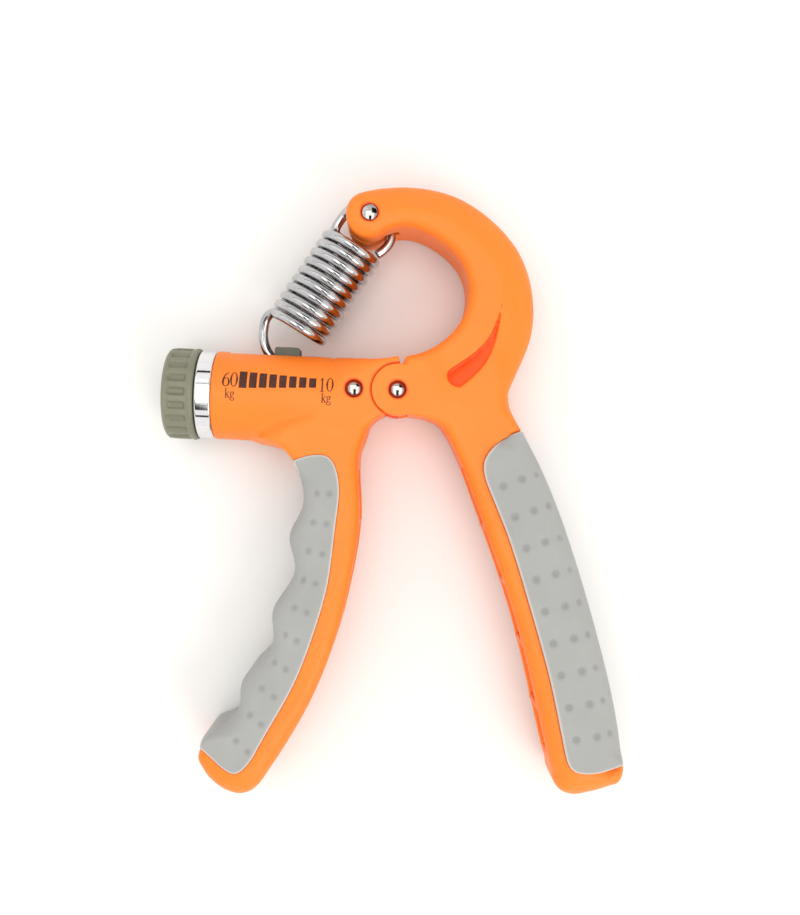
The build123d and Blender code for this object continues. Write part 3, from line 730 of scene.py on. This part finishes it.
TURN_STEPS = 72
LOOP_START, HOOK_START = TURNS - 0.16, 0.15
upper_turns = [on_coil(t) for t in np.arange(SPLIT, LOOP_START, 1 / TURN_STEPS)]
loop_way = [on_coil(LOOP_START), on_coil(TURNS - 0.12), on_coil(TURNS - 0.07) + up * 0.15,
            on_loop(78, -1.9), on_loop(66, -0.7), on_loop(52, -0.1)]
loop_way += [on_loop(a) for a in (30, 5, -20, -45, -66, -80)]
loop_way += [loop_centre - left * 6.2 - up * 2.8]
upper_path = upper_turns[:-1] + list(smooth_line(loop_way, 0.25))
hook_way = [on_coil(HOOK_START), on_coil(0.11), on_coil(0.06) - up * 0.1 + left * 0.1,
            np.array([-34.1, 18.2, 1.9]), np.array([-35.3, 15.4, 0.9]), np.array([-35.35, 12.0, 0.2]),
            np.array([-33.6, 8.2, 0]), np.array([-30.6, 5.9, 0]), np.array([-27.0, 5.3, 0]),
            np.array([-23.9, 6.4, 0])]
lower_turns = [on_coil(t) for t in np.arange(HOOK_START, SPLIT + 0.5 / TURN_STEPS, 1 / TURN_STEPS)]
lower_path = list(smooth_line(hook_way, 0.25))[::-1][:-1] + lower_turns
spring_upper = wire("spring_wire_upper", upper_path)
spring_lower = wire("spring_wire_lower", lower_path)


# ---- printed scale on the barrel --------------------------------------------------------------
def ribbon(points, widths):
    """A flat pen stroke of changing width, as vertices and faces in the plan."""
    line = smooth_line(points, 0.06) if len(points) > 2 else np.linspace(points[0], points[1], 5)
    run = np.concatenate(([0], np.cumsum(np.linalg.norm(np.diff(line, axis=0), axis=1))))
    wide = np.interp(run / run[-1], np.linspace(0, 1, len(widths)), widths)[:, None] / 2
    tangent = np.gradient(line, axis=0)
    tangent /= np.linalg.norm(tangent, axis=1)[:, None]
    normal = np.stack((-tangent[:, 1], tangent[:, 0]), axis=1)
    a, b = line + normal * wide, line - normal * wide
    n = len(line)
    return np.concatenate((a, b)), [(i, n + i, n + i + 1, i + 1) for i in range(n - 1)]


def ring_points(x, y, rx, ry):
    """Points once round an ellipse, from its top."""
    count = 13
    angles = [math.radians(90 + 360 * i / (count - 1)) for i in range(count)]
    return [(x + rx * math.cos(a), y + ry * math.sin(a)) for a in angles]


THIN, THICK = 0.16, 0.44
GLYPH_HEIGHT = 3.4
glyphs = {
    "0": [(ring_points(0.9, 1.8, 0.68, 1.62), [THIN, THICK, THIN, THICK, THIN])],
    "6": [(ring_points(0.9, 1.15, 0.68, 0.98), [THIN, THICK, THIN, THICK, THIN]),
          ([(1.5, 3.35), (0.9, 3.05), (0.42, 2.3), (0.22, 1.2)], [THIN, 0.26, 0.34, THICK])],
    "1": [([(0.9, 3.4), (0.9, 0.1)], [THICK * 0.8, THICK * 0.8]), ([(0.4, 0.08), (1.4, 0.08)], [THIN, THIN]),
          ([(0.35, 2.75), (0.62, 2.95), (0.9, 3.35)], [THIN, THIN, 0.3])],
    "k": [([(0.3, 3.3), (0.3, 0.1)], [0.36, 0.36]), ([(0.0, 0.08), (0.65, 0.08)], [THIN, THIN]),
          ([(0.3, 1.0), (1.3, 2.1)], [THIN, 0.2]), ([(0.65, 1.35), (1.35, 0.1)], [0.34, 0.36]),
          ([(1.05, 0.08), (1.65, 0.08)], [THIN, THIN]), ([(0.95, 2.1), (1.55, 2.1)], [THIN, THIN]),
          ([(0.0, 3.25), (0.3, 3.3)], [THIN, THIN])],
    "g": [(ring_points(0.75, 1.55, 0.5, 0.58), [0.2, 0.34, 0.2, 0.34, 0.2]),
          (ring_points(0.8, -0.25, 0.68, 0.5), [THIN, 0.3, 0.24, 0.3, THIN]),
          ([(0.45, 1.05), (0.25, 0.7), (0.85, 0.32)], [0.2, 0.24, 0.3]),
          ([(1.1, 1.95), (1.55, 2.15)], [0.2, 0.3])],
}
marks = []


def write(text, x, y, height, advance):
    """Digits and letters from pen strokes, scaled to a height."""
    scale = height / GLYPH_HEIGHT
    for i, letter in enumerate(text):
        for points, widths in glyphs[letter]:
            spots, faces = ribbon(points, widths)
            marks.append((spots * [scale, scale] + [x + i * advance, y], faces))


write("60", -43.8, -1.25, 3.7, 1.98)
write("kg", -42.9, -4.0, 2.5, 1.22)
write("10", -19.7, -1.45, 3.5, 1.9)
write("kg", -18.85, -4.15, 2.5, 1.22)
bar_count, bar_first, bar_last, bar_wide = 8, -39.55, -22.1, 1.92
rows, columns = 9, 3
for i in range(bar_count):
    share = i / (bar_count - 1)
    x = bar_first + (bar_last - bar_first) * share
    low, high = -1.35 + 0.8 * share, 2.85 - 1.0 * share
    w = bar_wide - 0.14 * share
    spots = [(x + w * c / (columns - 1), low + (high - low) * r / (rows - 1))
             for r in range(rows) for c in range(columns)]
    faces = [(r * columns + c, r * columns + c + 1, (r + 1) * columns + c + 1, (r + 1) * columns + c)
             for r in range(rows - 1) for c in range(columns - 1)]
    marks.append((np.array(spots), faces))

tree = bvhtree.BVHTree.FromPolygons([v.co for v in finger_body.data.vertices],
                                    [p.vertices for p in finger_body.data.polygons])
INK_RISE, RAY_FROM = 0.03, 14.0
ink_points, ink_faces = [], []
for spots, faces in marks:
    start = len(ink_points)
    for x, y in spots:
        above = Vector(place((x, y, RAY_FROM)))
        hit = tree.ray_cast(above, Vector((0, 0, -1)))[0]
        ink_points.append((x, y, hit.z * 1000 - PIVOT.z + INK_RISE))
    ink_faces += [tuple(start + i for i in f) for f in faces]
ink = new_mesh("load_scale_print", ink_points, ink_faces)


# ---- materials --------------------------------------------------------------------------------
def material(name, **sockets):
    """A Principled material with constants on its own sockets."""
    mat = bpy.data.materials.new(name)
    mat.use_nodes = True
    shader = mat.node_tree.nodes["Principled BSDF"]
    for socket, value in sockets.items():
        shader.inputs[socket.replace("_", " ")].default_value = value
    return mat, mat.node_tree, shader


def noise(tree, scale, detail, rough=0.5):
    """Noise in object space, so that it keeps its size and place."""
    where = tree.nodes.new("ShaderNodeTexCoord")
    texture = tree.nodes.new("ShaderNodeTexNoise")
    texture.inputs["Scale"].default_value = scale
    texture.inputs["Detail"].default_value = detail
    texture.inputs["Roughness"].default_value = rough
    tree.links.new(where.outputs["Object"], texture.inputs["Vector"])
    return texture.outputs["Fac"]


def ramp(tree, source, stops, target):
    """Maps a factor through two colour stops into a socket."""
    node = tree.nodes.new("ShaderNodeValToRGB")
    for stop, (at, colour) in zip(node.color_ramp.elements, stops):
        stop.position, stop.color = at, (*colour, 1)
    tree.links.new(source, node.inputs["Fac"])
    tree.links.new(node.outputs["Color"], target)


def graded(tree, source, low, high, target):
    """Maps a factor to a range of plain numbers."""
    node = tree.nodes.new("ShaderNodeMapRange")
    node.inputs["From Min"].default_value, node.inputs["From Max"].default_value = 0.3, 0.7
    node.inputs["To Min"].default_value, node.inputs["To Max"].default_value = low, high
    tree.links.new(source, node.inputs["Value"])
    tree.links.new(node.outputs["Result"], target)


def tinted(tree, shader, mark, colour):
    """Blends the base colour towards another one where the mesh carries a mark."""
    before = shader.inputs["Base Color"].links[0].from_socket
    marked = tree.nodes.new("ShaderNodeAttribute")
    marked.attribute_name = mark
    mix = tree.nodes.new("ShaderNodeMixRGB")
    mix.inputs["Color2"].default_value = (*colour, 1)
    tree.links.new(before, mix.inputs["Color1"])
    tree.links.new(marked.outputs["Fac"], mix.inputs["Fac"])
    tree.links.new(mix.outputs["Color"], shader.inputs["Base Color"])


def bump(tree, shader, layers):
    """Stacks bump maps: each layer is (height source, strength, depth in metres)."""
    normal = None
    for source, strength, depth in layers:
        node = tree.nodes.new("ShaderNodeBump")
        node.inputs["Strength"].default_value = strength
        node.inputs["Distance"].default_value = depth
        tree.links.new(source, node.inputs["Height"])
        if normal:
            tree.links.new(normal, node.inputs["Normal"])
        normal = node.outputs["Normal"]
    tree.links.new(normal, shader.inputs["Normal"])


def make_orange():
    """Moulded plastic that lets a little light in, with painted shade, a deeper red, in its grooves,
    recesses and gaps.
    """
    mat, tree, shader = material("orange_plastic_moulded", Specular_IOR_Level=0.34, Subsurface_Weight=0.25,
                                  Subsurface_Radius=(1.0, 0.2, 0.05), Subsurface_Scale=0.002)
    ramp(tree, noise(tree, 60, 4), [(0.3, (0.87, 0.192, 0.014)), (0.7, (0.90, 0.207, 0.018))],
         shader.inputs["Base Color"])
    # Painted shade: a deeper red where the mesh is marked, in recesses, gaps and round the pins.
    tinted(tree, shader, "painted_shade", (0.87, 0.085, 0.005))
    graded(tree, noise(tree, 420, 5, 0.6), 0.38, 0.5, shader.inputs["Roughness"])
    bump(tree, shader, [(noise(tree, 3200, 3), 0.16, 0.00006), (noise(tree, 240, 2), 0.05, 0.0003)])
    return mat


def make_rubber():
    """Matt rubber, with painted shade in its pits and a paler lip that is partly moulding flash and partly a
    painted highlight.
    """
    mat, tree, shader = material("grey_rubber_soft", Specular_IOR_Level=0.3, Sheen_Weight=0.12,
                                 Sheen_Roughness=0.6)
    ramp(tree, noise(tree, 90, 5, 0.6), [(0.3, (0.290, 0.292, 0.282)), (0.7, (0.318, 0.320, 0.309))],
         shader.inputs["Base Color"])
    # Painted shade: darker grey in the pits.
    tinted(tree, shader, "painted_shade", (0.252, 0.253, 0.246))
    # Paler lip: partly moulding flash, partly a painted highlight.
    tinted(tree, shader, "flash_lip_highlight", (0.60, 0.55, 0.52))
    graded(tree, noise(tree, 700, 4, 0.7), 0.62, 0.8, shader.inputs["Roughness"])
    bump(tree, shader, [(noise(tree, 4200, 4, 0.7), 0.25, 0.00008), (noise(tree, 500, 3), 0.08, 0.0002)])
    return mat


def make_olive(name="olive_plastic_moulded", shade=1.0):
    """Grey-green plastic with a slight shine."""
    mat, tree, shader = material(name, Specular_IOR_Level=0.45)
    ramp(tree, noise(tree, 150, 4), [(0.3, (0.170 * shade, 0.169 * shade, 0.117 * shade)),
                                     (0.7, (0.198 * shade, 0.196 * shade, 0.137 * shade))],
         shader.inputs["Base Color"])
    graded(tree, noise(tree, 600, 4), 0.34, 0.5, shader.inputs["Roughness"])
    bump(tree, shader, [(noise(tree, 3000, 3), 0.14, 0.00006)])
    return mat


def make_metal(name, light, dark, low, high, strength, scale):
    """Bare metal: its colours, its range of roughness, and the strength and scale of its grain."""
    mat, tree, shader = material(name, Metallic=1.0)
    ramp(tree, noise(tree, 260, 5, 0.6), [(0.3, dark), (0.7, light)], shader.inputs["Base Color"])
    graded(tree, noise(tree, scale, 4, 0.6), low, high, shader.inputs["Roughness"])
    bump(tree, shader, [(noise(tree, scale * 1.4, 3), strength, 0.00005)])
    return mat


def make_ink():
    """Dark red-brown printing ink."""
    mat, tree, shader = material("printed_ink", Specular_IOR_Level=0.3)
    ramp(tree, noise(tree, 1500, 3), [(0.3, (0.040, 0.010, 0.006)), (0.75, (0.085, 0.026, 0.014))],
         shader.inputs["Base Color"])
    graded(tree, noise(tree, 900, 3), 0.5, 0.7, shader.inputs["Roughness"])
    bump(tree, shader, [(noise(tree, 3000, 3), 0.1, 0.00003)])
    return mat


finishes = {
    "orange_plastic": make_orange(),
    "grey_rubber": make_rubber(),
    "olive_plastic": make_olive(),
    "chrome": make_metal("chrome_plated", (0.80, 0.80, 0.82), (0.72, 0.72, 0.74), 0.05, 0.12, 0.04, 500),
    "polished_steel": make_metal("polished_steel_pin", (0.50, 0.48, 0.45), (0.38, 0.36, 0.34),
                                 0.05, 0.12, 0.06, 1200),
    "spring_wire": make_metal("nickel_plated_wire", (0.56, 0.56, 0.57), (0.42, 0.42, 0.43),
                              0.05, 0.13, 0.12, 1400),
    "zinc_steel": make_metal("zinc_plated_steel", (0.56, 0.56, 0.55), (0.42, 0.42, 0.41),
                             0.28, 0.42, 0.12, 900),
    "ink": make_ink(),
    # The slider's finish is the olive plastic darkened to 0.42 of its colour.
    "slider": make_olive("olive_plastic_slider", 0.42),
}

pieces = [
    (palm_body, "palm_handle", "orange_plastic", ["palm_handle"]),
    (finger_body, "finger_handle", "orange_plastic", ["finger_handle"]),
    (palm_pad, "palm_handle", "grey_rubber", ["palm_grip"]),
    (finger_pad, "finger_handle", "grey_rubber", ["finger_grip"]),
    (knob_piece, "knob", "olive_plastic", ["knob"]),
    (collar_piece, "finger_handle", "chrome", ["collar"]),
    (screw_piece, "knob", "zinc_steel", ["adjusting_screw"]),
    (pin_pieces["pivot_pin"], "palm_handle", "polished_steel", ["pivot_pin"]),
    (pin_pieces["spring_pin"], "palm_handle", "polished_steel", ["spring_pin"]),
    (pin_pieces["retaining_pin"], "finger_handle", "polished_steel", ["retaining_pin"]),
]
for piece, body, slot_name, replaced in pieces:
    piece.data.materials.append(finishes[slot_name])
    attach(piece, body)
    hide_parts(*replaced)
ink.data.materials.append(finishes["ink"])
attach(ink, "finger_handle")

for piece, parent, child, top_turn, low_turn in (
        (spring_upper, "spring_top", "spring_middle", TURNS + 0.3, SPLIT + 0.5),
        (spring_lower, "spring_middle", "spring_hook", SPLIT - 0.5, -0.2)):
    piece.data.materials.append(finishes["spring_wire"])
    start = place(coil_base + up * PITCH * top_turn)
    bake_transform(piece)
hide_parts("spring_upper_loop", "spring_coils")
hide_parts("spring_lower_hook")

kept_nodes = {"knob_cap": "olive_plastic", "slider": "slider", "slider_nut": "zinc_steel",
              "slider_cross_pin": "zinc_steel", "knob_screw": "zinc_steel", "thrust_washer": "zinc_steel"}
for node, finish in kept_nodes.items():
    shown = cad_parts[node]
    shown.data.materials.clear()
    shown.data.materials.append(finishes[finish])

# ---- floor, light and camera ------------------------------------------------------------------
floor_mesh = bpy.data.meshes.new("floor")
reach = 1.6
floor_corners = [(-reach, -reach, 0), (reach, -reach, 0), (reach, reach, 0), (-reach, reach, 0)]
floor_mesh.from_pydata(floor_corners, [], [(0, 1, 2, 3)])
floor = bpy.data.objects.new("floor", floor_mesh)
scene.collection.objects.link(floor)
floor_mat, tree, shader = material("paper_white", Roughness=0.9, Specular_IOR_Level=0.1)
ramp(tree, noise(tree, 30, 3), [(0.3, (0.765, 0.758, 0.745)), (0.7, (0.775, 0.768, 0.755))],
     shader.inputs["Base Color"])
bump(tree, shader, [(noise(tree, 900, 3), 0.03, 0.0001)])
floor_mesh.materials.append(floor_mat)

world = bpy.data.worlds.new("soft_studio")
scene.world = world
world.use_nodes = True
background = world.node_tree.nodes["Background"]
background.inputs["Color"].default_value = (1.0, 0.985, 0.96, 1)
background.inputs["Strength"].default_value = 1.12


def area(name, where, size, power, colour=(1, 1, 1)):
    """A soft square light aimed at the object."""
    light = bpy.data.lights.new(name, "AREA")
    light.size, light.energy, light.color = size, power, colour
    lamp = bpy.data.objects.new(name, light)
    lamp.location = where
    lamp.rotation_euler = (Vector((0, 0, 0.01)) - Vector(where)).to_track_quat("-Z", "Y").to_euler()
    scene.collection.objects.link(lamp)


area("key_lower_right", (0.42, -0.52, 0.62), 0.4, 2.2, (1.0, 0.985, 0.96))
area("fill_upper_left", (-0.6, 0.5, 0.7), 0.7, 0.5, (0.98, 0.99, 1.0))
area("overhead", (0.0, 0.0, 1.1), 0.9, 3.6)


def card(name, x0, x1, y0, y1, height, shade):
    """A dark card over the object that shows only in reflections."""
    sheet = bpy.data.meshes.new(name)
    corners = [(x0, y0, height), (x1, y0, height), (x1, y1, height), (x0, y1, height)]
    sheet.from_pydata(corners, [], [(0, 1, 2, 3)])
    held = bpy.data.objects.new(name, sheet)
    scene.collection.objects.link(held)
    mat, tree, shader = material(name + "_card", Roughness=1.0, Specular_IOR_Level=0.0)
    ramp(tree, noise(tree, 8, 2), [(0.3, (shade, shade, shade)),
                                   (0.7, (shade * 1.2, shade * 1.15, shade * 1.1))],
         shader.inputs["Base Color"])
    sheet.materials.append(mat)
    held.visible_diffuse = held.visible_shadow = held.visible_camera = False


card("dark_overhead", -0.05, 0.05, -0.5, 0.03, 0.42, 0.03)
card("bar_front", -0.6, 0.6, -0.275, -0.26, 0.5, 0.01)
card("bar_back", -0.6, 0.6, 0.255, 0.27, 0.5, 0.01)
card("bar_low_front", -0.7, 0.7, -0.56, -0.44, 0.3, 0.008)
card("bar_low_back", -0.7, 0.7, 0.44, 0.56, 0.3, 0.008)
card("panel_back_right", 0.06, 0.4, 0.14, 0.42, 0.45, 0.01)
card("panel_front_left", -0.4, -0.15, -0.4, -0.12, 0.45, 0.01)

camera = bpy.data.cameras.new("camera")
camera.lens, camera.sensor_width = 40.1, 36.0
eye = bpy.data.objects.new("camera", camera)
eye.location = (0.000365, 0.00896, 0.2768)
eye.rotation_euler = (0, 0, math.radians(2.5))
scene.collection.objects.link(eye)
scene.camera = eye
scene.view_settings.view_transform = "Standard"
